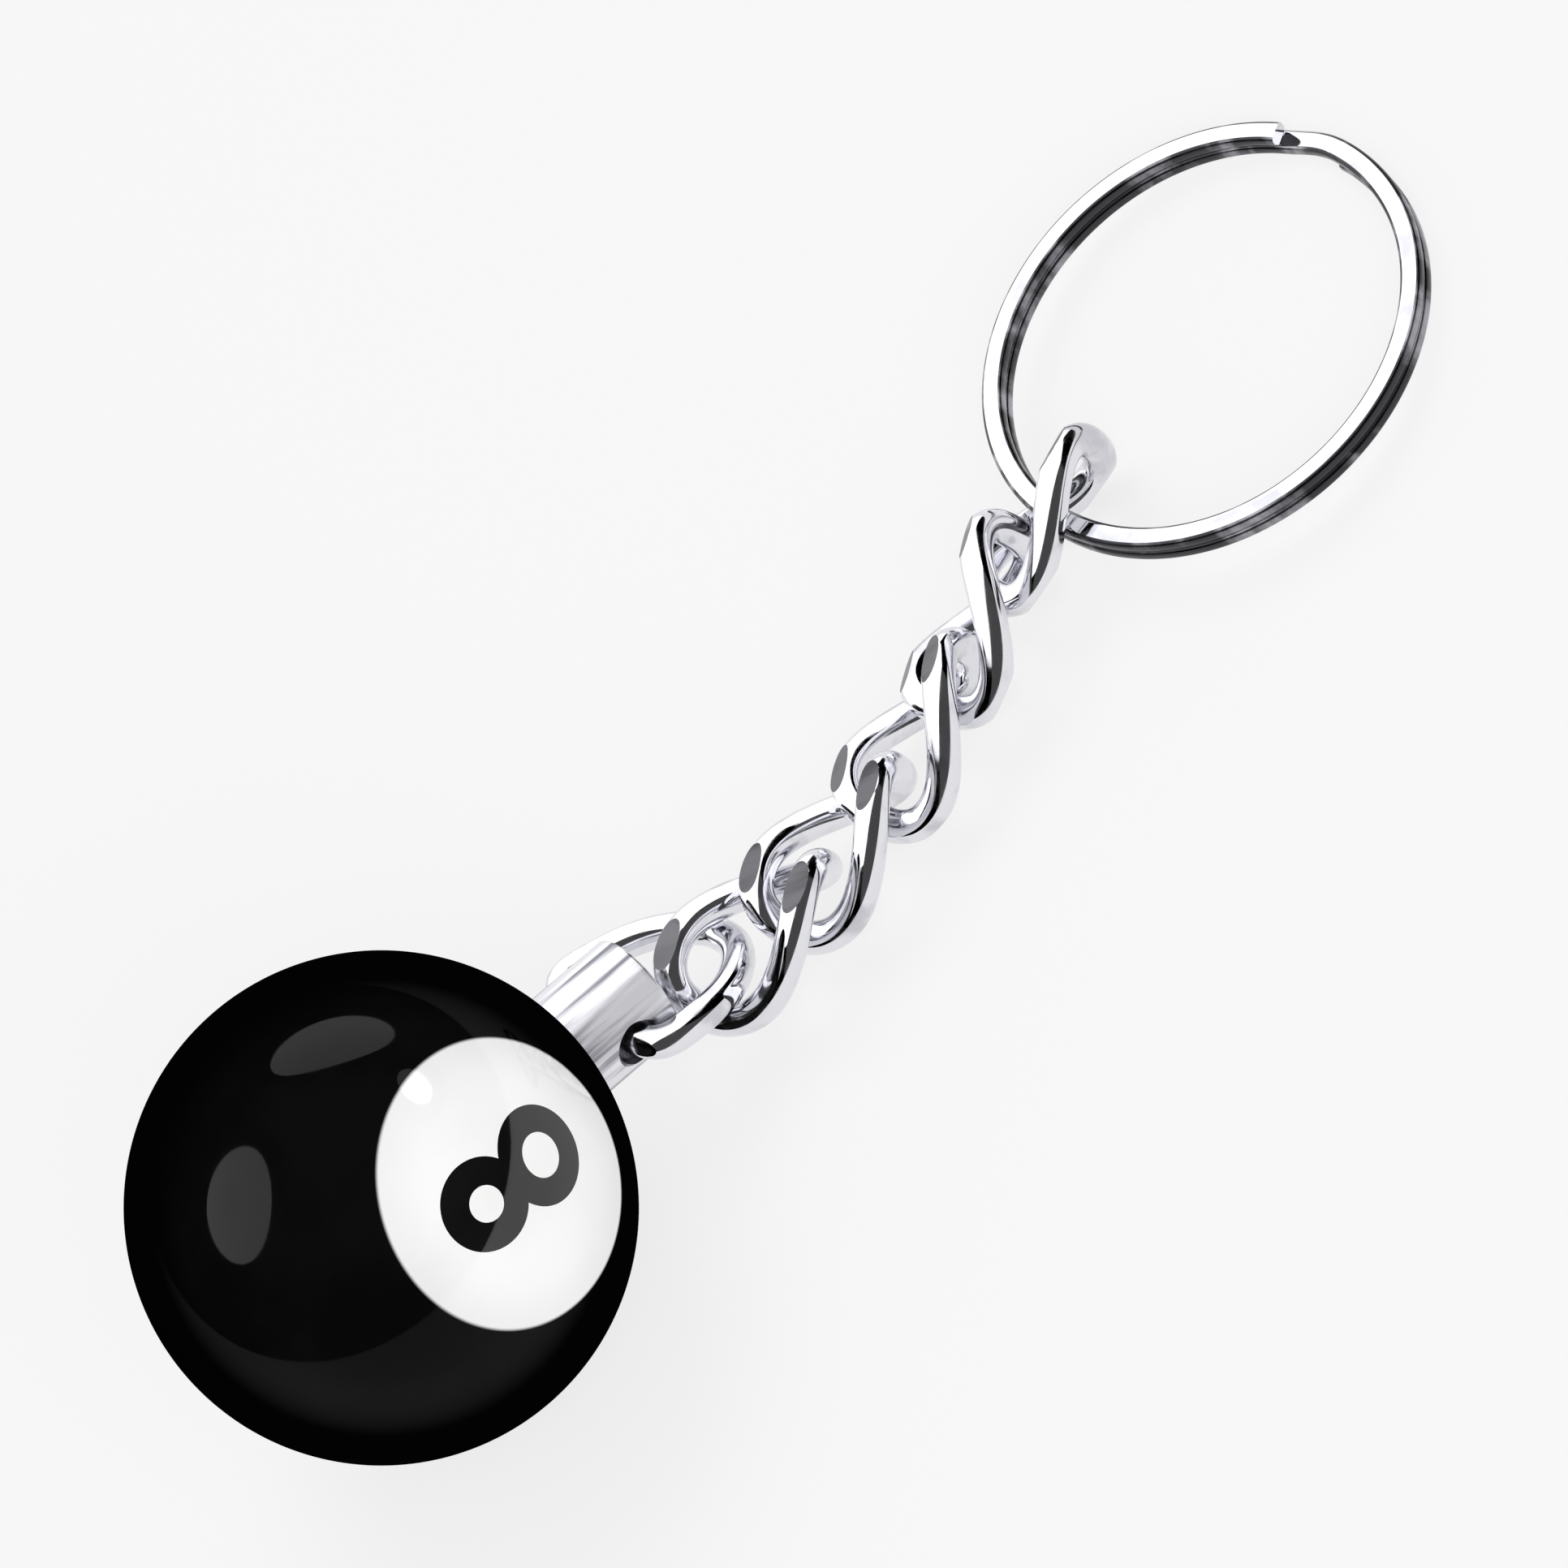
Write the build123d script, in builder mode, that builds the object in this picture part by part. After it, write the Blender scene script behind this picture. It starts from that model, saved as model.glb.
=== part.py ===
from build123d import *
from math import cos, pi, radians, sin
import os

# Key chain with a small numbered pool ball, in millimetres.
# It lies on a table, Z = 0, with the ball at -X and the key ring at +X.
# The origin is on the table, under the middle of the laid-out key chain.

# ball and its inlaid number
BALL_DIAMETER = 25.0
DISC_DIAMETER = 14.3
DISC_FLOOR_REACH = 8.2
NUMBER_FACING = (0.374, -0.852, 0.368)
NUMBER_UP = (-0.852, -0.159, 0.498)
BALL_SEAM_BEARING = 204.0

# the figure 8, measured from the middle of the disc
DIGIT_FLOOR_REACH = 9.4
DIGIT_BOTTOM = (0.28, -1.6)
DIGIT_TOP = (0.28, 2.4)
DIGIT_BOTTOM_DIAMETER = 5.0
DIGIT_TOP_DIAMETER = 4.6
DIGIT_BOTTOM_HOLE = 2.25
DIGIT_TOP_HOLE = 1.8

# ferrule let into the ball, and the stud that holds it
FERRULE_DIAMETER = 5.9
FERRULE_TIP_REACH = 17.2
FERRULE_SEAT_REACH = 9.5
FERRULE_HEADING = -2.5
FERRULE_DROOP = 21.0
FERRULE_EDGE = 0.15
CROSS_HOLE_REACH = 14.76
CROSS_HOLE_DIAMETER = 2.4
CROSS_HOLE_CHAMFER = 0.15
STUD_DIAMETER = 2.5
STUD_START_REACH = 5.0
STUD_END_REACH = 12.6
THREAD_DEPTH = 0.2
THREAD_PITCH = 0.45

# curb chain: each link is an oval of round wire, twisted, with its high spots ground flat
WIRE_DIAMETER = 1.7
LINK_HALF_LENGTH = 4.7
LINK_HALF_WIDTH = 2.95
LINK_END_TWIST = 60.0
LINK_FULLNESS = 2.6
FLAT_DEPTH = 0.28
PATH_POINTS = 24

# the first link is a flat shackle through the ferrule
SHACKLE_LENGTH = 7.88
SHACKLE_WIDE_HALF = 4.0
SHACKLE_NARROW_HALF = 2.4
SHACKLE_WIDE_FULLNESS = 6.0
SHACKLE_NARROW_FULLNESS = 2.6
SHACKLE_TAPER = 2.2
SHACKLE_DROOP = 31.6
SHACKLE_FLAT_DEPTH = 0.1

# the last link was opened and closed again to take the key ring, so it is twisted less
END_LINK_HALF_LENGTH = 4.4
END_LINK_HALF_WIDTH = 2.85
END_LINK_TWIST = 42.0
END_LINK_FULLNESS = 2.3

# split key ring: one flat wire coiled nearly two turns
RING_OUTER_DIAMETER = 24.0
RING_WIRE_WIDTH = 1.15
RING_WIRE_THICKNESS = 0.72
RING_WIRE_ROUNDING = 0.26
RING_TURN_GAP = 0.05
RING_STEP_ANGLE = 20.0
RING_STEP_SECTIONS = 6
RING_TILT = 6.5
RING_STEP_BEARING = 21.0

# where the pieces lie, measured from the point of the table under the ball
BALL_CENTRE = Vector(-28.54, 2.055, BALL_DIAMETER / 2)
RING_CENTRE = (57.67, -4.61, 2.15)

# the twisted links: centre, then heading about Z, pitch about Y and roll along the link
LAID_LINKS = {
    2: ((21.28, -3.36, 4.35), (-14.6, -0.5, -2.3)),
    3: ((27.00, -4.17, 3.76), (-5.3, -0.9, -11.2)),
    4: ((33.90, -4.17, 3.25), (3.6, -4.6, -25.7)),
    5: ((40.03, -3.77, 3.85), (14.1, -3.5, -44.0)),
    6: ((45.92, -3.23, 3.28), (1.1, -0.1, -44.7)),
}

BALL_RADIUS = BALL_DIAMETER / 2
WIRE_RADIUS = WIRE_DIAMETER / 2
BALL_FOOT = Vector(BALL_CENTRE.X, BALL_CENTRE.Y, 0)

os.makedirs("parts", exist_ok=True)


def save(piece, label):
    piece.label = label
    export_step(piece, f"parts/{label}.step")
    print(f"{label:20s} {len(piece.solids())} solid  {piece.volume:9.3f} mm3")


def laid_plane(centre, turns):
    """Plane of a laid piece: its length runs along local X, its face looks along local Z."""
    flat = Plane(origin=BALL_FOOT + Vector(*centre))
    return flat.rotated(turns, ordering=Intrinsic.ZYX)


def number_plane(side):
    """Plane through the ball's middle that faces out through a number disc, Y up the figure."""
    facing = Vector(*NUMBER_FACING) * side
    return Plane(origin=BALL_CENTRE, x_dir=Vector(*NUMBER_UP).cross(facing), z_dir=facing)


def ferrule_plane():
    """Plane through the ball's middle whose Z runs out along the ferrule, Y along its cross hole."""
    along = Plane(origin=BALL_CENTRE).rotated((FERRULE_HEADING, FERRULE_DROOP, 0), ordering=Intrinsic.ZYX)
    return Plane(origin=BALL_CENTRE, x_dir=-along.z_dir, z_dir=along.x_dir)


def digit_profile():
    """Figure 8: two overlapping round loops, each with a round hole."""
    with BuildSketch() as profile:
        for middle, outer, hole in (
            (DIGIT_BOTTOM, DIGIT_BOTTOM_DIAMETER, DIGIT_BOTTOM_HOLE),
            (DIGIT_TOP, DIGIT_TOP_DIAMETER, DIGIT_TOP_HOLE),
        ):
            with Locations(middle):
                Circle(outer / 2)
                Circle(hole / 2, mode=Mode.SUBTRACT)
    return profile.sketch


def oval_point(turn, half_length, half_width, fullness):
    """Point of a flat oval: fullness 2 is an ellipse, more is squarer."""
    across, along = abs(sin(turn)), abs(cos(turn))
    reach = (along**fullness + across**fullness) ** (-1 / fullness)
    return half_length * cos(turn) * reach, half_width * sin(turn) * reach


def twisted_path(half_length, half_width, end_twist, fullness):
    """Closed path of a curb link: an oval twisted evenly about its own length."""
    points = []
    for step in range(PATH_POINTS):
        x, across = oval_point(2 * pi * step / PATH_POINTS, half_length, half_width, fullness)
        twist = radians(end_twist) * x / half_length
        points.append(Vector(x, across * cos(twist), -across * sin(twist)))
    return points


def shackle_path():
    """Closed path of the first link: wide and square in the ferrule, narrow at its far end."""
    points = []
    half_length = SHACKLE_LENGTH / 2
    for step in range(PATH_POINTS):
        turn = 2 * pi * step / PATH_POINTS
        fullness = SHACKLE_NARROW_FULLNESS if cos(turn) > 0 else SHACKLE_WIDE_FULLNESS
        x, across = oval_point(turn, half_length, 1, fullness)
        narrowing = ((x + half_length) / SHACKLE_LENGTH) ** SHACKLE_TAPER
        half_width = SHACKLE_WIDE_HALF - (SHACKLE_WIDE_HALF - SHACKLE_NARROW_HALF) * narrowing
        points.append(Vector(x + half_length, half_width * across, 0))
    return points


def wire_link(local_points, plane, flat_height):
    """Round wire swept round a closed path in two halves, with top and bottom ground flat."""
    route = Spline(*[plane.from_local_coords(point) for point in local_points], periodic=True)
    with BuildPart() as link:
        for start in (0, 0.5):
            with BuildLine() as half:
                add(route.trim(start, start + 0.5))
            with BuildSketch(Plane(origin=half.line @ 0, z_dir=half.line % 0)):
                Circle(WIRE_RADIUS)
            sweep(path=half.line)
        with BuildSketch(plane.offset(-flat_height)):
            Rectangle(6 * LINK_HALF_LENGTH, 6 * LINK_HALF_WIDTH)
        extrude(amount=2 * flat_height, mode=Mode.INTERSECT)
    return link.part


number_sides = {"front": number_plane(1), "back": number_plane(-1)}
ferrule_axis = ferrule_plane()

# ball: resin sphere, its seam clear of two disc pockets, the ferrule socket and the stud's hole
with BuildPart() as ball:
    with Locations(BALL_CENTRE):
        Sphere(BALL_RADIUS, rotation=(0, 0, BALL_SEAM_BEARING))
    for plane in number_sides.values():
        with BuildSketch(plane.offset(DISC_FLOOR_REACH)):
            Circle(DISC_DIAMETER / 2)
        extrude(amount=BALL_RADIUS, mode=Mode.SUBTRACT)
    with BuildSketch(ferrule_axis.offset(FERRULE_SEAT_REACH)):
        Circle(FERRULE_DIAMETER / 2)
    extrude(amount=BALL_RADIUS, mode=Mode.SUBTRACT)
    with BuildSketch(ferrule_axis.offset(STUD_START_REACH)):
        Circle(STUD_DIAMETER / 2)
    extrude(amount=FERRULE_SEAT_REACH - STUD_START_REACH, mode=Mode.SUBTRACT)
save(ball.part, "ball")

# number discs and their figures, flush with the sphere, on opposite sides of the ball
for side, plane in number_sides.items():
    with BuildPart() as disc:
        with BuildSketch(plane.offset(DISC_FLOOR_REACH)):
            Circle(DISC_DIAMETER / 2)
        extrude(amount=BALL_RADIUS)
        with Locations(BALL_CENTRE):
            Sphere(BALL_RADIUS, mode=Mode.INTERSECT)
        with BuildSketch(plane.offset(DIGIT_FLOOR_REACH)):
            add(digit_profile())
        extrude(amount=BALL_RADIUS, mode=Mode.SUBTRACT)
    save(disc.part, f"number_disc_{side}")

    with BuildPart() as digit:
        with BuildSketch(plane.offset(DIGIT_FLOOR_REACH)):
            add(digit_profile())
        extrude(amount=BALL_RADIUS)
        with Locations(BALL_CENTRE):
            Sphere(BALL_RADIUS, mode=Mode.INTERSECT)
    save(digit.part, f"digit_{side}")

# ferrule: turned bar with a cross hole for the first link and a tapped hole for the stud
with BuildPart() as ferrule:
    with BuildSketch(ferrule_axis.offset(FERRULE_SEAT_REACH)):
        Circle(FERRULE_DIAMETER / 2)
    extrude(amount=FERRULE_TIP_REACH - FERRULE_SEAT_REACH)
    tip = ferrule.faces().sort_by(Axis(BALL_CENTRE, ferrule_axis.z_dir))[-1]
    fillet(tip.edges(), FERRULE_EDGE)
    hole_middle = ferrule_axis.offset(CROSS_HOLE_REACH).origin
    hole_plane = Plane(origin=hole_middle, x_dir=ferrule_axis.z_dir, z_dir=ferrule_axis.y_dir)
    with BuildSketch(hole_plane):
        Circle(CROSS_HOLE_DIAMETER / 2)
    extrude(amount=FERRULE_DIAMETER, both=True, mode=Mode.SUBTRACT)
    with BuildSketch(ferrule_axis.offset(FERRULE_SEAT_REACH)):
        Circle(STUD_DIAMETER / 2)
    extrude(amount=STUD_END_REACH - FERRULE_SEAT_REACH, mode=Mode.SUBTRACT)
save(ferrule.part, "ferrule")

# stud: threaded rod between ball and ferrule, its thread turned as plain grooves
with BuildPart() as stud:
    with BuildSketch(ferrule_axis.offset(STUD_START_REACH)):
        Circle(STUD_DIAMETER / 2)
    extrude(amount=STUD_END_REACH - STUD_START_REACH)
    groove_count = int((STUD_END_REACH - STUD_START_REACH) / THREAD_PITCH) - 1
    side_on = Plane(origin=BALL_CENTRE, x_dir=ferrule_axis.x_dir, z_dir=-ferrule_axis.y_dir)
    with BuildSketch(side_on):
        for groove in range(groove_count):
            root = STUD_START_REACH + THREAD_PITCH * (groove + 1)
            with BuildLine():
                Polyline(
                    (STUD_DIAMETER / 2 + THREAD_DEPTH, root - THREAD_PITCH / 2),
                    (STUD_DIAMETER / 2 - THREAD_DEPTH, root),
                    (STUD_DIAMETER / 2 + THREAD_DEPTH, root + THREAD_PITCH / 2),
                    close=True,
                )
            make_face()
    revolve(axis=Axis(BALL_CENTRE, ferrule_axis.z_dir), mode=Mode.SUBTRACT)
save(stud.part, "ferrule_stud")

# first link: the shackle, its inner end lying in the ferrule's cross hole
shackle_plane = Plane(origin=hole_middle).rotated((0, SHACKLE_DROOP, 0), ordering=Intrinsic.ZYX)
save(wire_link(shackle_path(), shackle_plane, WIRE_RADIUS - SHACKLE_FLAT_DEPTH), "chain_link_1")

# links 2 to 5 are alike, link 6 is the one that holds the key ring
for number, (centre, turns) in LAID_LINKS.items():
    points = twisted_path(LINK_HALF_LENGTH, LINK_HALF_WIDTH, LINK_END_TWIST, LINK_FULLNESS)
    if number == max(LAID_LINKS):
        points = twisted_path(END_LINK_HALF_LENGTH, END_LINK_HALF_WIDTH, END_LINK_TWIST, END_LINK_FULLNESS)
    crest = max(point.Z for point in points)
    save(
        wire_link(points, laid_plane(centre, turns), crest + WIRE_RADIUS - FLAT_DEPTH),
        f"chain_link_{number}",
    )

# key ring: a low turn, a step up beside its own ends, and a high turn
ring_plane = laid_plane(RING_CENTRE, (0, RING_TILT, 0))
ring_axis = Axis(ring_plane.origin, ring_plane.z_dir)
ring_middle_radius = (RING_OUTER_DIAMETER - RING_WIRE_WIDTH) / 2
turn_height = (RING_WIRE_THICKNESS + RING_TURN_GAP) / 2


def ring_section(angle, height):
    """Plane across the ring's wire at an angle from the step and a height above the middle."""
    outward = ring_plane.x_dir.rotate(ring_axis, RING_STEP_BEARING + angle)
    middle = ring_plane.origin + outward * ring_middle_radius + ring_plane.z_dir * height
    return Plane(origin=middle, x_dir=outward, z_dir=outward.cross(ring_plane.z_dir))


with BuildPart() as key_ring:
    for height in (-turn_height, turn_height):
        with BuildSketch(ring_section(0, height)):
            RectangleRounded(RING_WIRE_WIDTH, RING_WIRE_THICKNESS, RING_WIRE_ROUNDING)
        revolve(axis=ring_axis, revolution_arc=360 - RING_STEP_ANGLE)
    for section in range(RING_STEP_SECTIONS + 1):
        part_way = section / RING_STEP_SECTIONS
        rise = -turn_height * cos(pi * part_way)
        with BuildSketch(ring_section(-RING_STEP_ANGLE * part_way, rise)):
            RectangleRounded(RING_WIRE_WIDTH, RING_WIRE_THICKNESS, RING_WIRE_ROUNDING)
    loft()
save(key_ring.part, "key_ring")
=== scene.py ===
# %% [markdown]
# # Pool ball key chain: the finished look
#
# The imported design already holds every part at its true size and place.
# This script remakes the visible parts as fine meshes, gives them materials,
# and sets up the floor, the lights and the camera.
# Lengths below are in millimetres and are turned into metres when a mesh is made.

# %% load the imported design
from math import asin, cos, pi, radians, sin

import bmesh
import bpy
from mathutils import Euler, Matrix, Vector


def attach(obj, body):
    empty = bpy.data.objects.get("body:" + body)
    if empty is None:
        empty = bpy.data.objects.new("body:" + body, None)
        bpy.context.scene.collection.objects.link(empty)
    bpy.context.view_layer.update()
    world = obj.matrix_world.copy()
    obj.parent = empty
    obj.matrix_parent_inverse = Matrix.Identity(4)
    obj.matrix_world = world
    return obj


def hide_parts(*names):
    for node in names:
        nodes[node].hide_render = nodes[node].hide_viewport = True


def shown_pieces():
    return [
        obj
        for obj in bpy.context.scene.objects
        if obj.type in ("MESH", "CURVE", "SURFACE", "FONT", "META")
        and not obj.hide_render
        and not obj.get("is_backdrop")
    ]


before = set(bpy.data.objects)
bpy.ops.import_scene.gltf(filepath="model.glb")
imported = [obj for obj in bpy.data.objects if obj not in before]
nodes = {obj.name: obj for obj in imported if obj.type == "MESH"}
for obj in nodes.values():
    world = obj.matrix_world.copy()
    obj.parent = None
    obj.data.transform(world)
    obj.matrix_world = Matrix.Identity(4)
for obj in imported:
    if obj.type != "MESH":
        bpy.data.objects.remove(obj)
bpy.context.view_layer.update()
MM = 0.001
print("nodes:", ", ".join(sorted(nodes)))

# %% [markdown]
# ## Sizes shared by several pieces
#
# The ball's middle, the way its number faces, the ferrule's axis and the wire sizes
# are the same as in the design.
# A reach is a distance from the ball's middle.

# %% sizes and axes
BALL_MIDDLE = Vector((-28.54, 2.055, 12.5))
BALL_RADIUS = 12.5
DISC_RADIUS = 7.15
DISC_FLOOR_REACH = 8.2
NUMBER_FACING = Vector((0.374, -0.852, 0.368)).normalized()
NUMBER_UP = Vector((-0.852, -0.159, 0.498)).normalized()
FERRULE_ANGLES = (0, radians(21.0), radians(-2.5))
FERRULE_TURN = Euler(FERRULE_ANGLES, "XYZ").to_matrix()
FERRULE_RADIUS = 2.95
FERRULE_SEAT_REACH = 9.5
FERRULE_TIP_REACH = 17.2
FERRULE_EDGE = 0.15
CROSS_HOLE_REACH = 14.76
CROSS_HOLE_RADIUS = 1.2
WIRE_RADIUS = 0.85


def axes_matrix(x_axis, y_axis, z_axis, middle):
    """Matrix that takes a piece drawn about its own axes to its place in the key chain."""
    turn = Matrix((x_axis, y_axis, z_axis)).transposed()
    return Matrix.Translation(middle) @ turn.to_4x4()


def number_axes(side):
    """Axes of a number disc: Z out through the disc, Y up the figure."""
    facing = NUMBER_FACING * side
    return axes_matrix(NUMBER_UP.cross(facing), NUMBER_UP, facing, BALL_MIDDLE)


ferrule_out = FERRULE_TURN @ Vector((1, 0, 0))
ferrule_across = FERRULE_TURN @ Vector((0, 1, 0))
ferrule_axes = axes_matrix(ferrule_across.cross(ferrule_out), ferrule_across, ferrule_out, BALL_MIDDLE)
CROSS_HOLE_MIDDLE = BALL_MIDDLE + CROSS_HOLE_REACH * ferrule_out
print("cross hole middle:", [round(value, 2) for value in CROSS_HOLE_MIDDLE])

# %% [markdown]
# ## Mesh helpers
#
# `lathe` turns a profile round an axis, `wire` sweeps a section along a path,
# and `piece` turns the result into a finished object that rides on its body.


# %% mesh helpers
def lathe(profile, turns=160):
    """Closed mesh from a profile of (radius, height) pairs, turned about Z."""
    bm = bmesh.new()
    line = [bm.verts.new((radius, 0, height)) for radius, height in profile]
    edges = [bm.edges.new(pair) for pair in zip(line, line[1:])]
    bmesh.ops.spin(
        bm,
        geom=line + edges,
        cent=(0, 0, 0),
        axis=(0, 0, 1),
        angle=2 * pi,
        steps=turns,
        use_merge=True,
        use_duplicate=False,
    )
    bmesh.ops.remove_doubles(bm, verts=bm.verts, dist=1e-5)
    bmesh.ops.recalc_face_normals(bm, faces=bm.faces)
    return bm


def arc(start, end, radius, steps):
    """Profile points along a circle about the origin, between two angles from the axis."""
    angles = [start + (end - start) * step / steps for step in range(steps + 1)]
    return [(radius * sin(angle), radius * cos(angle)) for angle in angles]


def wire(path, section, closed, second=()):
    """Mesh of a section swept along a path of (point, side, up) stations.

    Faces that start from the section points listed in second take the second material.
    """
    bm = bmesh.new()
    rings = []
    for point, side, up in path:
        rings.append([bm.verts.new(point + side * across + up * above) for across, above in section])
    count = len(section)
    pairs = list(zip(rings, rings[1:]))
    if closed:
        pairs.append((rings[-1], rings[0]))
    for ring, following in pairs:
        for k in range(count):
            face = bm.faces.new((ring[k], ring[(k + 1) % count], following[(k + 1) % count], following[k]))
            face.material_index = int(k in second)
    if not closed:
        bm.faces.new(rings[0])
        bm.faces.new(rings[-1])
    bmesh.ops.recalc_face_normals(bm, faces=bm.faces)
    return bm


def to_object(bm, name, place):
    """Object from a mesh drawn in millimetres, set in its place and turned into metres."""
    bmesh.ops.transform(bm, matrix=place, verts=bm.verts)
    bmesh.ops.scale(bm, vec=(MM, MM, MM), verts=bm.verts)
    mesh = bpy.data.meshes.new(name)
    bm.to_mesh(mesh)
    bm.free()
    made = bpy.data.objects.new(name, mesh)
    bpy.context.scene.collection.objects.link(made)
    return made


def combine(base, other, operation):
    """Cuts, joins or trims one object with another, and removes the other."""
    change = base.modifiers.new("combine", "BOOLEAN")
    change.operation = operation
    change.solver = "EXACT"
    change.object = other
    shaped = bpy.data.meshes.new_from_object(base.evaluated_get(bpy.context.evaluated_depsgraph_get()))
    base.modifiers.remove(change)
    old = base.data
    base.data = shaped
    shaped.name = base.name
    bpy.data.meshes.remove(old)
    bpy.data.objects.remove(other)


def finish_shading(made, crisp_angle=35.0):
    """Smooth faces, with edges sharper than the angle kept crisp."""
    bm = bmesh.new()
    bm.from_mesh(made.data)
    bmesh.ops.recalc_face_normals(bm, faces=bm.faces)
    for face in bm.faces:
        face.smooth = True
    for edge in bm.edges:
        edge.smooth = edge.is_manifold and edge.calc_face_angle(0) < radians(crisp_angle)
    bm.to_mesh(made.data)
    bm.free()


def piece(made, body, node, materials, crisp_angle=35.0):
    """Finishes an object: shading, materials, the body it rides on and the design node it stands for."""
    finish_shading(made, crisp_angle)
    for material in materials:
        made.data.materials.append(material)
    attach(made, body)
    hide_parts(node)
    print(f"{made.name}: {len(made.data.polygons)} faces on {body}")


# %% [markdown]
# ## Materials
#
# Every material is a Principled shader with procedural colour, roughness and bump.
# `make_material` lays down the shared nodes, and each material adds what the real surface shows.


# %% material helpers
def make_material(name):
    """A new material with its shader and its object coordinates."""
    material = bpy.data.materials.new(name)
    material.use_nodes = True
    tree = material.node_tree
    shader = tree.nodes["Principled BSDF"]
    place = tree.nodes.new("ShaderNodeTexCoord")
    return material, tree, shader, place.outputs["Object"]


def noise(tree, place, scale, detail, stretch=(1, 1, 1), turn=(0, 0, 0)):
    """Noise read from object coordinates in metres: turned first, then drawn out where stretch is above 1."""
    mapping = tree.nodes.new("ShaderNodeMapping")
    mapping.vector_type = "TEXTURE"
    mapping.inputs["Scale"].default_value = stretch
    mapping.inputs["Rotation"].default_value = turn
    pattern = tree.nodes.new("ShaderNodeTexNoise")
    pattern.inputs["Scale"].default_value = scale
    pattern.inputs["Detail"].default_value = detail
    tree.links.new(place, mapping.inputs["Vector"])
    tree.links.new(mapping.outputs["Vector"], pattern.inputs["Vector"])
    return pattern.outputs["Fac"]


def ramp(tree, value, low, high, from_low=0.35, from_high=0.65):
    """Maps part of a value's range smoothly on to another range."""
    change = tree.nodes.new("ShaderNodeMapRange")
    change.interpolation_type = "SMOOTHSTEP"
    change.inputs["From Min"].default_value = from_low
    change.inputs["From Max"].default_value = from_high
    change.inputs["To Min"].default_value = low
    change.inputs["To Max"].default_value = high
    tree.links.new(value, change.inputs["Value"])
    return change.outputs["Result"]


def blend(tree, factor, first, second):
    """Colour between two others, by a factor. Each is a colour or a socket."""
    mix = tree.nodes.new("ShaderNodeMix")
    mix.data_type = "RGBA"
    tree.links.new(factor, mix.inputs["Factor"])
    for socket, colour in ((mix.inputs[6], first), (mix.inputs[7], second)):
        if isinstance(colour, tuple):
            socket.default_value = (*colour, 1)
        else:
            tree.links.new(colour, socket)
    return mix.outputs[2]


def bump(tree, shader, height, depth_mm):
    """Adds surface relief of about the given depth."""
    relief = tree.nodes.new("ShaderNodeBump")
    relief.inputs["Strength"].default_value = 1.0
    relief.inputs["Distance"].default_value = depth_mm * MM
    tree.links.new(height, relief.inputs["Height"])
    tree.links.new(relief.outputs["Normal"], shader.inputs["Normal"])


def resin(name, dark, light, rough_low, rough_high, gloss):
    """Polished cast resin: faint mottling, hairline polishing marks and slightly uneven gloss."""
    material, tree, shader, place = make_material(name)
    clouds = noise(tree, place, 160, 4)
    tree.links.new(blend(tree, ramp(tree, clouds, 0, 1), dark, light), shader.inputs["Base Color"])
    smears = noise(tree, place, 420, 3, stretch=(1, 2.5, 1))
    tree.links.new(ramp(tree, smears, rough_low, rough_high), shader.inputs["Roughness"])
    hairlines = noise(tree, place, 2500, 2, stretch=(8, 1, 1), turn=(0.3, 0.2, 0.7))
    bump(tree, shader, hairlines, 0.0004)
    shader.inputs["Specular IOR Level"].default_value = gloss
    return material, tree, shader, place


def chrome(
    name, colour, rough_low, rough_high, wear_and_reflection_colour,
    stretch=(1, 1, 1), turn=(0, 0, 0), depth=0.0006, patches=380, wear_and_reflection_from=0.48,
):
    """Plating with uneven polish and fine relief, and random patches of a second colour: wear on the bright
    plating, and on the ring's walls and the link flats paler and darker patches that are part of their
    painted dark reflection.
    """
    material, tree, shader, place = make_material(name)
    shader.inputs["Metallic"].default_value = 1.0
    wear_and_reflection_mask = ramp(tree, noise(tree, place, patches, 5, stretch, turn), 0, 1, wear_and_reflection_from, wear_and_reflection_from + 0.2)
    tree.links.new(blend(tree, wear_and_reflection_mask, colour, wear_and_reflection_colour), shader.inputs["Base Color"])
    polish = noise(tree, place, 900, 4, stretch, turn)
    tree.links.new(ramp(tree, polish, rough_low, rough_high), shader.inputs["Roughness"])
    waves = noise(tree, place, 700, 3, stretch, turn)
    bump(tree, shader, waves, depth)
    return material


# %% [markdown]
# The ball's gloss is kept low, and a duller black takes over where the surface turns away.
# Real polished resin would shine more there. This keeps the pale floor's reflection faint.

# %% materials
black_resin, tree, shader, place = resin(
    "black_resin", (0.0022, 0.0022, 0.0022), (0.0036, 0.0036, 0.0036), 0.03, 0.06, 0.06
)
turned_away = tree.nodes.new("ShaderNodeLayerWeight")
turned_away.inputs["Blend"].default_value = 0.5
dull = tree.nodes.new("ShaderNodeBsdfPrincipled")
dull.inputs["Base Color"].default_value = (0.001, 0.001, 0.001, 1)
dull.inputs["Roughness"].default_value = 0.6
dull.inputs["Specular IOR Level"].default_value = 0.0
swap = tree.nodes.new("ShaderNodeMixShader")
tree.links.new(ramp(tree, turned_away.outputs["Facing"], 0, 1, 0.28, 0.55), swap.inputs["Fac"])
tree.links.new(shader.outputs["BSDF"], swap.inputs[1])
tree.links.new(dull.outputs["BSDF"], swap.inputs[2])
tree.links.new(swap.outputs["Shader"], tree.nodes["Material Output"].inputs["Surface"])

digit_black = resin("digit_black", (0.004, 0.004, 0.0045), (0.007, 0.007, 0.0075), 0.03, 0.06, 0.75)[0]


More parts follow.
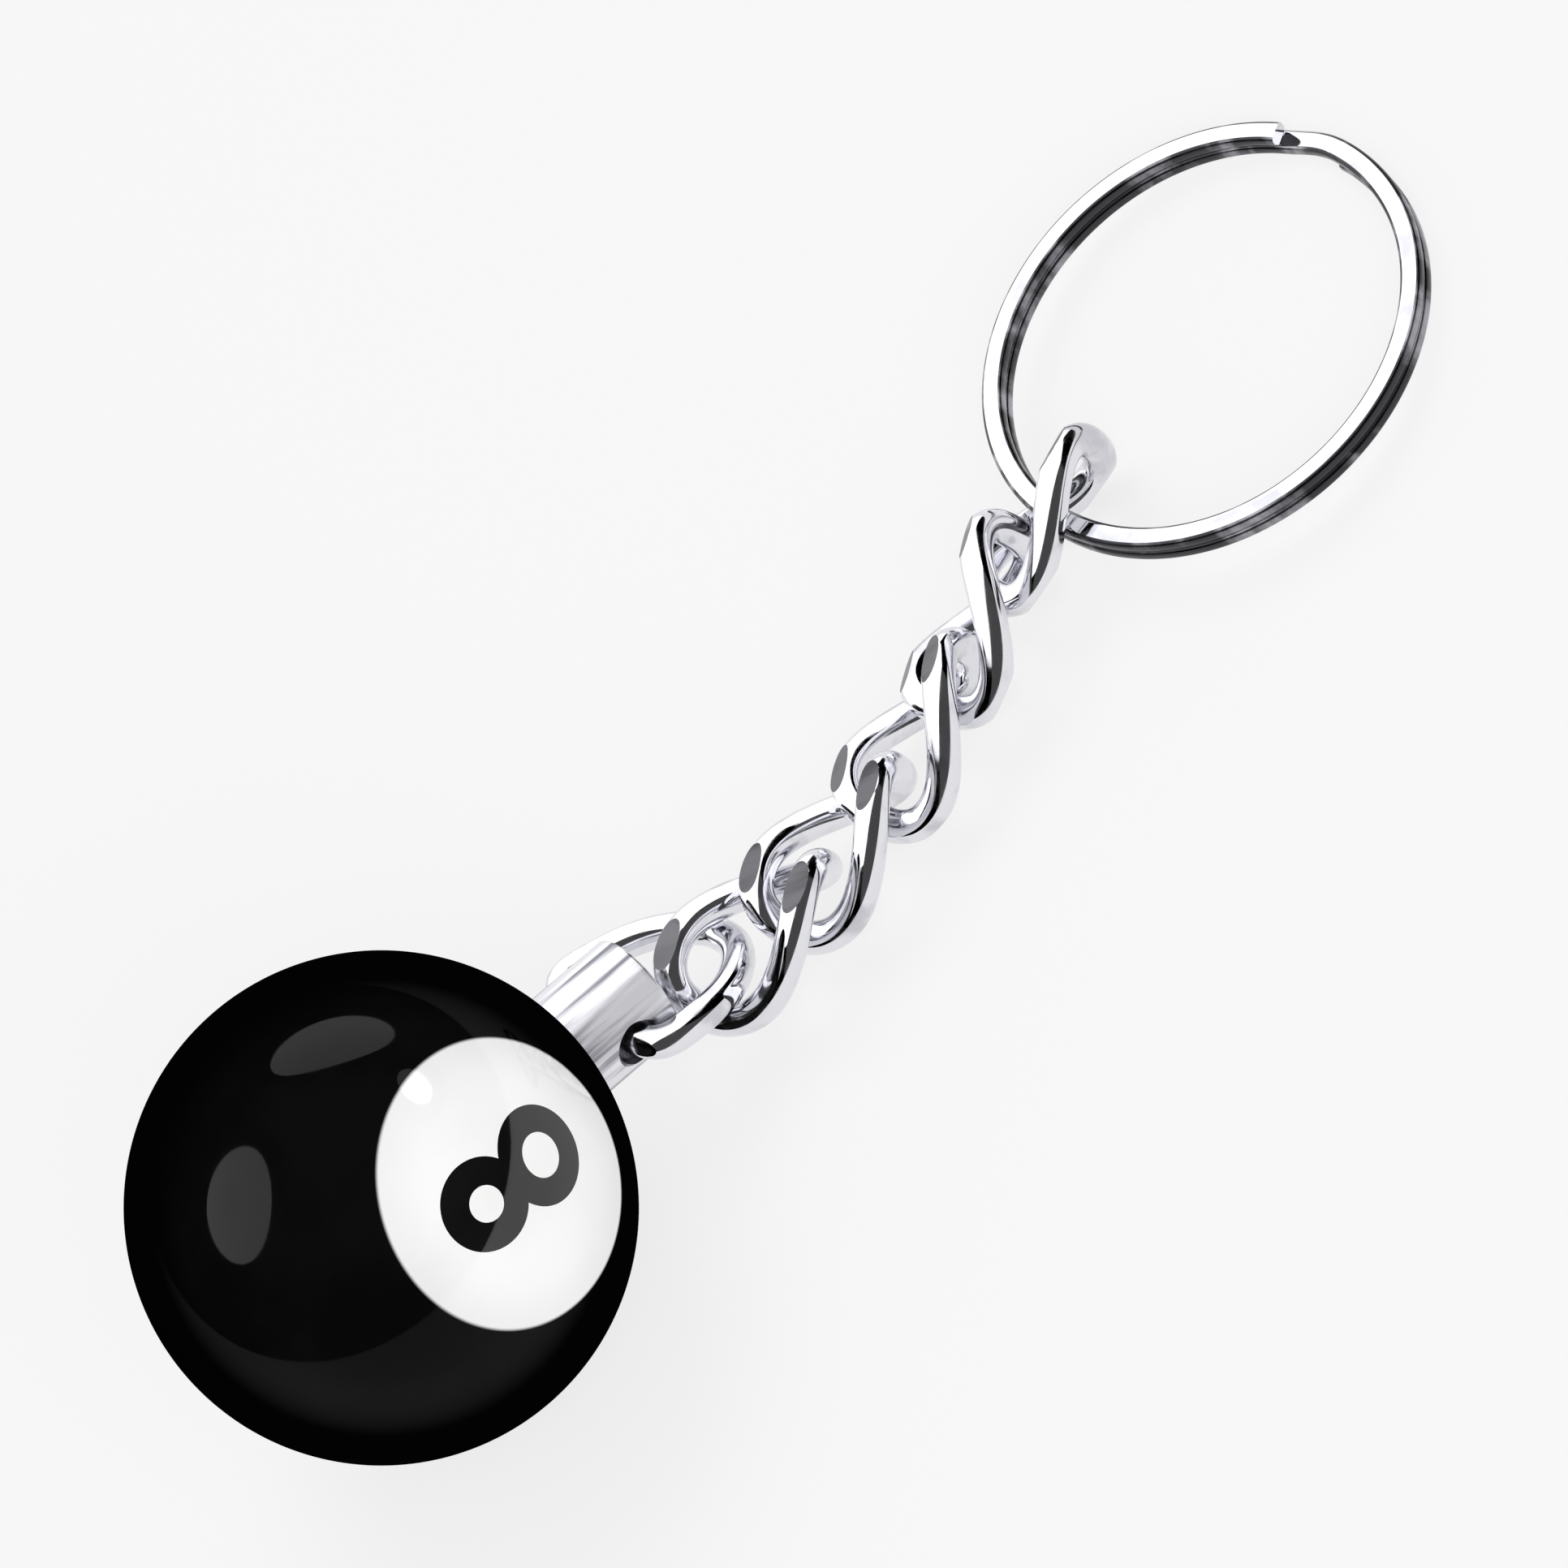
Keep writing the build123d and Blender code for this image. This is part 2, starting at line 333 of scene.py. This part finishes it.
def disc_resin(name):
    """White resin inlay with painted shade that darkens it towards its rim, and darker in a thin soft line at
    its rim where black resin shows through.
    """
    material, tree, shader, place = resin(name, (0.86, 0.86, 0.855), (0.9, 0.9, 0.9), 0.06, 0.1, 0.5)
    offset = tree.nodes.new("ShaderNodeVectorMath")
    offset.operation = "SUBTRACT"
    offset.inputs[1].default_value = BALL_MIDDLE * MM
    across = tree.nodes.new("ShaderNodeVectorMath")
    across.operation = "CROSS_PRODUCT"
    across.inputs[1].default_value = NUMBER_FACING
    reach = tree.nodes.new("ShaderNodeVectorMath")
    reach.operation = "LENGTH"
    tree.links.new(place, offset.inputs[0])
    tree.links.new(offset.outputs["Vector"], across.inputs[0])
    tree.links.new(across.outputs["Vector"], reach.inputs[0])
    distance = reach.outputs["Value"]
    plain = shader.inputs["Base Color"].links[0].from_socket
    # Painted shade: the disc grows darker towards its rim.
    shaded = blend(tree, ramp(tree, distance, 0, 0.25, 4.5 * MM, 7.2 * MM), plain, (0.6, 0.6, 0.62))
    edge = blend(tree, ramp(tree, distance, 0, 1, 6.98 * MM, 7.16 * MM), shaded, (0.02, 0.02, 0.02))
    tree.links.new(edge, shader.inputs["Base Color"])
    return material


white_resin = disc_resin("white_resin")
ferrule_chrome = chrome(
    "ferrule_chrome", (0.82, 0.82, 0.86), 0.24, 0.4, (0.2, 0.2, 0.23),
    (16, 1, 1), FERRULE_ANGLES, 0.004, 1100, 0.46,
)
chain_chrome = chrome("chain_chrome", (0.79, 0.79, 0.83), 0.04, 0.14, (0.58, 0.58, 0.62))
# The ground flats of links 2 to 6: their rougher, streaky finish is their own, and their dark colour is
# painted reflection, standing in for the dark surroundings the flats reflect.
ground_flat_painted_dark = chrome(
    "ground_flat_painted_dark", (0.12, 0.12, 0.13), 0.2, 0.38, (0.035, 0.035, 0.04), (1, 6, 1), (0, 0, 0.8), 0.004
)
ring_chrome = chrome("ring_chrome", (0.79, 0.79, 0.83), 0.03, 0.09, (0.6, 0.6, 0.65))
# The ring's inner and outer walls: the near-black colour is painted reflection, standing in for the dark
# surroundings these walls reflect, with random paler patches.
ring_wall_painted_dark = chrome(
    "ring_wall_painted_dark_chrome", (0.05, 0.05, 0.055), 0.15, 0.32, (0.36, 0.36, 0.39), (1, 1, 2.5), (0, 0, 0.5), 0.002
)
stud_steel = chrome("stud_steel", (0.5, 0.5, 0.52), 0.25, 0.4, (0.38, 0.38, 0.4))
nodes["ferrule_stud"].data.materials.clear()
nodes["ferrule_stud"].data.materials.append(stud_steel)
print("materials:", len(bpy.data.materials))

# %% [markdown]
# ## Ball
#
# One lathe profile round the number axis: the sphere, with a flat-bottomed round pocket at each end.

# %% ball
rim_angle = asin(DISC_RADIUS / BALL_RADIUS)
profile = [(0, DISC_FLOOR_REACH), (DISC_RADIUS, DISC_FLOOR_REACH)]
profile += arc(rim_angle, pi - rim_angle, BALL_RADIUS, 150)
profile += [(DISC_RADIUS, -DISC_FLOOR_REACH), (0, -DISC_FLOOR_REACH)]
ball = to_object(lathe(profile, 256), "ball_body", number_axes(1))
piece(ball, "ball", "ball", [black_resin])

# %% [markdown]
# ## Number discs and figures
#
# A dome fills each pocket. The figure 8 is two rings joined, cut out of the dome and filled
# with its own black inlay, flush with the ball.

# %% number discs
FIGURE_FLOOR_REACH = 9.4
FIGURE_TOP_REACH = 13.0
LOWER_LOOP = ((0.28, -1.6), 2.5, 1.125)
UPPER_LOOP = ((0.28, 2.4), 2.3, 0.9)


def dome():
    """Lens-shaped plug that fills a disc pocket, flush with the ball."""
    floor_line = [(0, DISC_FLOOR_REACH), (DISC_RADIUS, DISC_FLOOR_REACH)]
    return lathe(floor_line + arc(rim_angle, 0, BALL_RADIUS, 60), 192)


def loop(middle, outer, hole, low, high):
    """One round loop of the figure 8, as an upright ring."""
    bm = lathe([(hole, low), (outer, low), (outer, high), (hole, high), (hole, low)], 96)
    bmesh.ops.translate(bm, vec=(*middle, 0), verts=bm.verts)
    return bm


def figure(place):
    """The figure 8 as one upright solid, taller than the dome.

    The loops' ends are set a little apart in height, so that no two faces lie in one plane.
    """
    whole = to_object(loop(*LOWER_LOOP, FIGURE_FLOOR_REACH, FIGURE_TOP_REACH), "figure", place)
    upper = loop(*UPPER_LOOP, FIGURE_FLOOR_REACH + 0.05, FIGURE_TOP_REACH + 0.2)
    combine(whole, to_object(upper, "upper_loop", place), "UNION")
    return whole


for side, label in ((1, "front"), (-1, "back")):
    place = number_axes(side)
    disc = to_object(dome(), f"number_disc_{label}_inlay", place)
    combine(disc, figure(place), "DIFFERENCE")
    piece(disc, "ball", f"number_disc_{label}", [white_resin])
    digit = to_object(dome(), f"digit_{label}_inlay", place)
    combine(digit, figure(place), "INTERSECT")
    piece(digit, "ball", f"digit_{label}", [digit_black])

# %% [markdown]
# ## Ferrule
#
# A turned bar with a rounded edge at its tip, drilled across for the first link.
# The hole's mouths are countersunk slightly, which the design's plain hole isn't.

# %% ferrule
edge_start = FERRULE_TIP_REACH - FERRULE_EDGE
side_length = edge_start - FERRULE_SEAT_REACH
bar_side = [(FERRULE_RADIUS, FERRULE_SEAT_REACH + side_length * step / 30) for step in range(31)]
bar_edge = [
    (FERRULE_RADIUS - FERRULE_EDGE + FERRULE_EDGE * cos(angle), edge_start + FERRULE_EDGE * sin(angle))
    for angle in (0.4, 0.8, 1.2, pi / 2)
]
bar = lathe([(0, FERRULE_SEAT_REACH), *bar_side, *bar_edge, (0, FERRULE_TIP_REACH)])
ferrule = to_object(bar, "ferrule_bar", ferrule_axes)

MOUTH_START = 2.75
DRILL_HALF_LENGTH = 4.0
mouth_radius = CROSS_HOLE_RADIUS + 1.0
drill = [
    (0, -DRILL_HALF_LENGTH),
    (mouth_radius, -DRILL_HALF_LENGTH),
    (CROSS_HOLE_RADIUS, -MOUTH_START),
    (CROSS_HOLE_RADIUS, MOUTH_START),
    (mouth_radius, DRILL_HALF_LENGTH),
    (0, DRILL_HALF_LENGTH),
]
drill_axes = axes_matrix(ferrule_axes.col[2].xyz, ferrule_axes.col[0].xyz, ferrule_across, CROSS_HOLE_MIDDLE)
combine(ferrule, to_object(lathe(drill, 96), "drill", drill_axes), "DIFFERENCE")
piece(ferrule, "ball", "ferrule", [ferrule_chrome], 28.0)

# %% [markdown]
# ## Chain links
#
# Each link is round wire swept round a closed oval, with its high spots ground flat.
# Links 2 to 6 are twisted about their own length. The first link lies in one plane, and it is wide
# where it passes through the ferrule.

# %% link shapes
PATH_STEPS = 180
SECTION_STEPS = 32
section_turns = [2 * pi * step / SECTION_STEPS for step in range(SECTION_STEPS)]
round_section = [(WIRE_RADIUS * cos(turn), WIRE_RADIUS * sin(turn)) for turn in section_turns]

SHACKLE_LENGTH = 7.88
SHACKLE_WIDE_HALF = 4.0
SHACKLE_NARROW_HALF = 2.4
SHACKLE_TAPER = 2.2
SHACKLE_DROOP = 31.6
SHACKLE_FLAT_DEPTH = 0.1
LINK_FLAT_DEPTH = 0.28
LINK_SHAPE = (4.7, 2.95, 60.0, 2.6)
END_LINK_SHAPE = (4.4, 2.85, 42.0, 2.3)


def oval_point(turn, half_length, half_width, fullness):
    """Point of a flat oval: fullness 2 is an ellipse, more is squarer."""
    along, across = abs(cos(turn)), abs(sin(turn))
    reach = (along**fullness + across**fullness) ** (-1 / fullness)
    return half_length * cos(turn) * reach, half_width * sin(turn) * reach


def twisted_point(turn, half_length, half_width, end_twist, fullness):
    """Point of a twisted link's middle line, and the direction its face looks there."""
    x, across = oval_point(turn, half_length, half_width, fullness)
    twist = radians(end_twist) * x / half_length
    return Vector((x, across * cos(twist), -across * sin(twist))), Vector((0, sin(twist), cos(twist)))


def shackle_point(turn):
    """Point of the first link's middle line, and the direction its face looks there."""
    fullness = 2.6 if cos(turn) > 0 else 6.0
    half_length = SHACKLE_LENGTH / 2
    x, across = oval_point(turn, half_length, 1, fullness)
    narrowing = ((x + half_length) / SHACKLE_LENGTH) ** SHACKLE_TAPER
    half_width = SHACKLE_WIDE_HALF - (SHACKLE_WIDE_HALF - SHACKLE_NARROW_HALF) * narrowing
    return Vector((x + half_length, half_width * across, 0)), Vector((0, 0, 1))


def stations(point_at):
    """Evenly spaced stations round a closed path, for sweeping a wire along it."""
    turns = [2 * pi * step / PATH_STEPS for step in range(PATH_STEPS)]
    made = []
    for turn in turns:
        point, face = point_at(turn)
        along = (point_at(turn + 1e-3)[0] - point_at(turn - 1e-3)[0]).normalized()
        side = along.cross(face).normalized()
        made.append((point, side, side.cross(along)))
    return made


def grind_flat(bm, height):
    """Cuts the wire off square above and below, and gives the flats the second material."""
    for direction in (1, -1):
        cut = bmesh.ops.bisect_plane(
            bm,
            geom=bm.verts[:] + bm.edges[:] + bm.faces[:],
            plane_co=(0, 0, direction * height),
            plane_no=(0, 0, direction),
            clear_outer=True,
        )
        rim = [item for item in cut["geom_cut"] if isinstance(item, bmesh.types.BMEdge)]
        filled = bmesh.ops.triangle_fill(bm, use_beauty=True, edges=rim, normal=(0, 0, direction))
        for face in filled["geom"]:
            if isinstance(face, bmesh.types.BMFace):
                face.material_index = 1


# %% [markdown]
# Each link's place is its centre, measured from the table point under the ball,
# then its heading, pitch and roll.
# A link's shape is its half length, half width, end twist and fullness.

# %% links
LAID_LINKS = {
    2: ((21.28, -3.36, 4.35), (-14.6, -0.5, -2.3)),
    3: ((27.00, -4.17, 3.76), (-5.3, -0.9, -11.2)),
    4: ((33.90, -4.17, 3.25), (3.6, -4.6, -25.7)),
    5: ((40.03, -3.77, 3.85), (14.1, -3.5, -44.0)),
    6: ((45.92, -3.23, 3.28), (1.1, -0.1, -44.7)),
}


def laid(middle, heading, pitch, roll):
    """Matrix of a piece that lies with its length turned by heading, pitch and roll, in degrees."""
    turn = Euler((radians(roll), radians(pitch), radians(heading)), "XYZ").to_matrix().to_4x4()
    return Matrix.Translation(middle) @ turn


shackle = wire(stations(shackle_point), round_section, True)
grind_flat(shackle, WIRE_RADIUS - SHACKLE_FLAT_DEPTH)
shackle = to_object(shackle, "link_1_wire", laid(CROSS_HOLE_MIDDLE, 0, SHACKLE_DROOP, 0))
piece(shackle, "link_1", "chain_link_1", [chain_chrome, chain_chrome], 50.0)

ball_foot = Vector((BALL_MIDDLE.x, BALL_MIDDLE.y, 0))
for number, (middle, turns) in LAID_LINKS.items():
    shape = END_LINK_SHAPE if number == max(LAID_LINKS) else LINK_SHAPE
    path = stations(lambda turn: twisted_point(turn, *shape))
    link = wire(path, round_section, True)
    crest = max(point.z for point, side, up in path)
    grind_flat(link, crest + WIRE_RADIUS - LINK_FLAT_DEPTH)
    link = to_object(link, f"link_{number}_wire", laid(ball_foot + Vector(middle), *turns))
    piece(link, f"link_{number}", f"chain_link_{number}", [chain_chrome, ground_flat_painted_dark], 24.0)

# %% [markdown]
# ## Key ring
#
# One flat spring wire with rounded edges, coiled nearly two turns. It steps from the low turn
# to the high turn between the wire's two ends.

# %% key ring
RING_OUTER_RADIUS = 12.0
RING_WIRE_WIDTH = 1.15
RING_WIRE_THICKNESS = 0.72
RING_WIRE_ROUNDING = 0.26
RING_TURN_GAP = 0.05
RING_TILT = 6.5
RING_CENTRE = Vector((57.67, -4.61, 2.15))
RING_MIDDLE_RADIUS = RING_OUTER_RADIUS - RING_WIRE_WIDTH / 2
TURN_HEIGHT = (RING_WIRE_THICKNESS + RING_TURN_GAP) / 2
STEP_START, STEP_END = 21.0, 1.0


def rounded_section(width, height, rounding, steps=6):
    """Rectangle with rounded corners, as (across, above) pairs."""
    points = []
    for corner, (sx, sy) in enumerate(((1, 1), (-1, 1), (-1, -1), (1, -1))):
        for step in range(steps + 1):
            angle = (corner + step / steps) * pi / 2
            across = sx * (width / 2 - rounding) + rounding * cos(angle)
            above = sy * (height / 2 - rounding) + rounding * sin(angle)
            points.append((across, above))
    return points


def ring_station(bearing):
    """Station of the coil at a bearing, counted down from the low end through the step."""
    part_way = min(max((STEP_START - bearing) / (STEP_START - STEP_END), 0), 1)
    outward = Vector((cos(radians(bearing)), sin(radians(bearing)), 0))
    height = -TURN_HEIGHT * cos(pi * part_way)
    return outward * RING_MIDDLE_RADIUS + Vector((0, 0, height)), outward, Vector((0, 0, 1))


bearings = [361.0 - step for step in range(341)]
bearings += [STEP_START - step for step in range(1, 21)]
bearings += [STEP_END - step for step in range(1, 341)]
# each corner has seven points: the painted dark material, which paints the walls' dark reflection, covers the
# sides and the corners beside them
painted_dark_walls = (*range(0, 5), *range(8, 16), *range(25, 28))
coil_path = [ring_station(bearing) for bearing in bearings]
coil_section = rounded_section(RING_WIRE_WIDTH, RING_WIRE_THICKNESS, RING_WIRE_ROUNDING)
coil = wire(coil_path, coil_section, False, painted_dark_walls)
coil = to_object(coil, "key_ring_coil", laid(ball_foot + RING_CENTRE, 0, RING_TILT, 0))
piece(coil, "key_ring", "key_ring", [ring_chrome, ring_wall_painted_dark], 40.0)

# %% [markdown]
# ## Floor, lights and camera
#
# A pale floor that glows, so that shadows stay faint. Two soft lights and the sky light the colours,
# and separate soft boxes are seen only as reflections in the polished surfaces.

# %% floor
floor_mesh = bmesh.new()
bmesh.ops.create_grid(floor_mesh, x_segments=2, y_segments=2, size=1500)
floor = to_object(floor_mesh, "floor", Matrix.Identity(4))
pale, tree, shader, place = make_material("pale_floor")
shader.inputs["Base Color"].default_value = (0.16, 0.16, 0.16, 1)
shader.inputs["Roughness"].default_value = 1.0
shader.inputs["Specular IOR Level"].default_value = 0.0
shader.inputs["Emission Color"].default_value = (1, 1, 1, 1)
shader.inputs["Emission Strength"].default_value = 0.77
floor.data.materials.append(pale)
floor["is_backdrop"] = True

# %% lights
scene = bpy.context.scene
scene.view_settings.view_transform = "Standard"
world = bpy.data.worlds.new("sky")
scene.world = world
world.use_nodes = True
world.node_tree.nodes["Background"].inputs["Color"].default_value = (1, 1, 1, 1)
world.node_tree.nodes["Background"].inputs["Strength"].default_value = 0.5
world.cycles_visibility.glossy = False

metal = bpy.data.collections.new("metal_pieces")
resins = bpy.data.collections.new("resin_pieces")
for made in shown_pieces():
    group = resins if "resin" in made.data.materials[0].name or "digit" in made.name else metal
    group.objects.link(made)
ferrule_only = bpy.data.collections.new("ferrule_only")
ferrule_only.objects.link(ferrule)


def soft_box(
    name, direction, distance, size, radiance, long_side=(0, 0, 1), receivers=None, shape="RECTANGLE"
):
    """Area light that faces the key chain, of a given radiance. Receivers see it only as a reflection."""
    data = bpy.data.lights.new(name, "AREA")
    data.shape = shape
    data.size, data.size_y = size[0] * MM, size[1] * MM
    fill = pi / 4 if shape == "ELLIPSE" else 1.0
    data.energy = radiance * pi * data.size * data.size_y * fill
    light = bpy.data.objects.new(name, data)
    scene.collection.objects.link(light)
    out = Vector(direction).normalized()
    level = Vector(long_side).cross(out).normalized()
    light.matrix_world = axes_matrix(level, out.cross(level), out, out * distance * MM)
    light.visible_camera = False
    if receivers:
        light.visible_diffuse = False
        light.light_linking.receiver_collection = receivers
    else:
        light.visible_glossy = False
    return light


soft_box("key", (0.25, 0.35, 0.9), 500, (320, 320), 2.6)
soft_box("front_fill", (-0.1, -0.75, 0.65), 600, (400, 400), 3.4)
soft_box("box_behind", (0.58, 0.505, 0.644), 400, (200, 320), 4.4, (0.8, -0.478, -0.36), resins, "ELLIPSE")
soft_box("box_left", (-0.534, 0.316, 0.784), 400, (230, 300), 6.4, (0.7, 0.3, 0.4), resins, "ELLIPSE")
soft_box("lamp", (0.746, -0.173, 0.642), 400, (130, 90), 4.0, (0, 0, 1), resins, "ELLIPSE")
soft_box("wall_behind", (0.05, 1, 0.3), 420, (1100, 420), 1.5, (0, 0, 1), metal)
soft_box("ceiling", (0.05, 0.2, 1), 380, (1100, 640), 1.5, (0, 1, 0), metal)
soft_box("wall_front", (0, -1, 0.45), 420, (1100, 600), 0.07, (0, 0, 1), metal)
soft_box("ferrule_panel", (0, -1, 0.6), 380, (700, 420), 0.6, (0, 0, 1), ferrule_only)
print("lights:", len(bpy.data.lights))

# %% [markdown]
# The camera looks down at about 49 degrees, with a long lens, and is rolled
# so that the chain runs up to the right.

# %% camera
VIEW_RIGHT = Vector((0.5494, -0.6489, -0.5264)).normalized()
VIEW_UP = Vector((0.8342, 0.3873, 0.3929)).normalized()
VIEW_BACK = VIEW_RIGHT.cross(VIEW_UP).normalized()
VIEW_WIDTH = 76.3
CAMERA_DISTANCE = 1200.0
aim = BALL_MIDDLE + VIEW_RIGHT * 19.49 + VIEW_UP * 20.58 - VIEW_BACK * 4.0
lens = bpy.data.cameras.new("camera")
lens.type = "PERSP"
lens.sensor_width = 36.0
lens.lens = 36.0 * CAMERA_DISTANCE / VIEW_WIDTH
lens.clip_start = 0.05
lens.clip_end = 10.0
camera = bpy.data.objects.new("camera", lens)
scene.collection.objects.link(camera)
camera.matrix_world = axes_matrix(VIEW_RIGHT, VIEW_UP, VIEW_BACK, (aim + VIEW_BACK * CAMERA_DISTANCE) * MM)
scene.camera = camera
